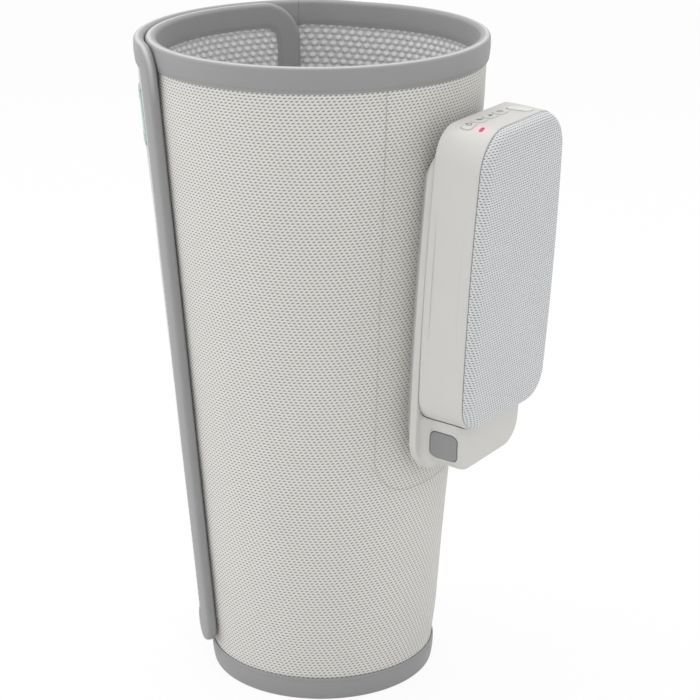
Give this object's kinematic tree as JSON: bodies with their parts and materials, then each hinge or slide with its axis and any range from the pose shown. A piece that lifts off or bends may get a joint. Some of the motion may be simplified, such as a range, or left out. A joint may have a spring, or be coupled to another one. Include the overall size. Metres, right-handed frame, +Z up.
{
  "type": "compression massager",
  "caption": "Cone-shaped air compression calf massager with a lapped cloth wrap, and a cloth-fronted pump unit that slides into a dock on the wrap.",
  "frame": {"origin": "on the floor, under the middle of the plan's bounding box", "axes": "+Z up, along the leg from ankle to knee; the pump unit faces -Y; +X is to the right of someone who faces the unit's cloth front"},
  "size_m": [0.1612, 0.1997, 0.32],
  "materials": {
    "outer_cloth": "warm grey knit with rows of small open holes",
    "spacer_mesh": "mid-grey dimpled mesh, matt",
    "binding_tape": "mid-grey woven tape, folded and stitched",
    "bladder_film": "smooth coated film, welded edges",
    "padding_foam": "thin felted padding",
    "hook_tape": "fine hooks on a woven ground",
    "tab_ribbon": "pale green ribbed ribbon",
    "housing_plastic": "fine-grained light grey moulding",
    "front_weave": "light bluish grey fine weave",
    "grip_plastic": "mid-grey soft-touch moulding",
    "light_window": "small red window",
    "circuit_board": "green board lacquer",
    "moulded_dark": "dark moulding",
    "valve_plastic": "grey moulding",
    "soft_rubber": "matt moulded rubber",
    "bright_steel": "bright, fine turned marks"
  },
  "bodies": {
    "wrap_and_dock": {"outer_cloth": "outer_cloth", "lining": "spacer_mesh", "loop_strip": "spacer_mesh", "wall_binding": "binding_tape", "bladder_lower": "bladder_film", "bladder_middle": "bladder_film", "bladder_upper": "bladder_film", "strap_upper": "housing_plastic", "strap_lower": "housing_plastic", "dock_shell": "housing_plastic", "air_coupling": "moulded_dark", "air_port_lower": "moulded_dark", "air_port_middle": "moulded_dark", "air_port_upper": "moulded_dark", "hose_lower": "soft_rubber", "hose_middle": "soft_rubber", "hose_upper": "soft_rubber", "nozzle_seal_lower": "soft_rubber", "nozzle_seal_middle": "soft_rubber", "nozzle_seal_upper": "soft_rubber", "release_spring_left": "bright_steel", "release_spring_right": "bright_steel", "dock_screw_upper_left": "bright_steel", "dock_screw_upper_right": "bright_steel", "dock_screw_lower_left": "bright_steel", "dock_screw_lower_right": "bright_steel"},
    "flap": {"flap_cloth": "outer_cloth", "flap_padding": "padding_foam", "flap_lining": "spacer_mesh", "flap_binding": "binding_tape", "hook_strip": "hook_tape", "pull_tab": "tab_ribbon"},
    "pump_unit": {"rear_housing": "housing_plastic", "front_cloth": "front_weave", "front_frame": "housing_plastic", "housing_screw_upper_left": "bright_steel", "housing_screw_upper_right": "bright_steel", "housing_screw_lower_left": "bright_steel", "housing_screw_lower_right": "bright_steel", "status_light": "light_window", "charge_socket": "bright_steel", "main_board": "circuit_board", "button_board": "circuit_board", "battery_pack": "moulded_dark", "pump_motor": "bright_steel", "pump_head": "moulded_dark", "pump_cradle": "soft_rubber", "valve_lower": "valve_plastic", "valve_middle": "valve_plastic", "valve_upper": "valve_plastic", "air_manifold": "moulded_dark", "pump_tube": "soft_rubber"},
    "power_button": {"power_button": "housing_plastic"},
    "mode_button": {"mode_button": "housing_plastic"},
    "level_button": {"level_button": "housing_plastic"},
    "time_button": {"time_button": "housing_plastic"},
    "release_button_left": {"release_button_left": "grip_plastic"},
    "release_button_right": {"release_button_right": "grip_plastic"},
    "port_cover": {"port_cover": "housing_plastic"}
  },
  "joints": [
    {"name": "flap_hinge", "type": "hinge", "parent": "wrap_and_dock", "child": "flap", "pos_m": [0.05665, 0.06161, 0.16], "axis": [-0.0611, -0.0513, -0.9968], "range_deg": [0, 100]},
    {"name": "pump_unit_slide", "type": "slide", "parent": "wrap_and_dock", "child": "pump_unit", "axis": [0, -0.066, 0.9978], "range_m": [0, 0.18]},
    {"name": "power_button_press", "type": "slide", "parent": "pump_unit", "child": "power_button", "axis": [0, 0.066, -0.9978], "range_m": [0, 0.0006], "stiffness_N_per_m": 600, "springref_m": -0.0008},
    {"name": "mode_button_press", "type": "slide", "parent": "pump_unit", "child": "mode_button", "axis": [0, 0.066, -0.9978], "range_m": [0, 0.0006], "stiffness_N_per_m": 600, "springref_m": -0.0008},
    {"name": "level_button_press", "type": "slide", "parent": "pump_unit", "child": "level_button", "axis": [0, 0.066, -0.9978], "range_m": [0, 0.0006], "stiffness_N_per_m": 600, "springref_m": -0.0008},
    {"name": "time_button_press", "type": "slide", "parent": "pump_unit", "child": "time_button", "axis": [0, 0.066, -0.9978], "range_m": [0, 0.0006], "stiffness_N_per_m": 600, "springref_m": -0.0008},
    {"name": "release_left_press", "type": "slide", "parent": "wrap_and_dock", "child": "release_button_left", "axis": [1, 0, 0], "range_m": [0, 0.0025], "stiffness_N_per_m": 400, "springref_m": -0.002, "deforming": ["release_spring_left"]},
    {"name": "release_right_press", "type": "slide", "parent": "wrap_and_dock", "child": "release_button_right", "axis": [-1, 0, 0], "range_m": [0, 0.0025], "stiffness_N_per_m": 400, "springref_m": -0.002, "deforming": ["release_spring_right"]},
    {"name": "port_cover_hinge", "type": "hinge", "parent": "pump_unit", "child": "port_cover", "pos_m": [0.0146, -0.07937, 0.29373], "axis": [-1, 0, 0], "range_deg": [0, 100]}
  ]
}
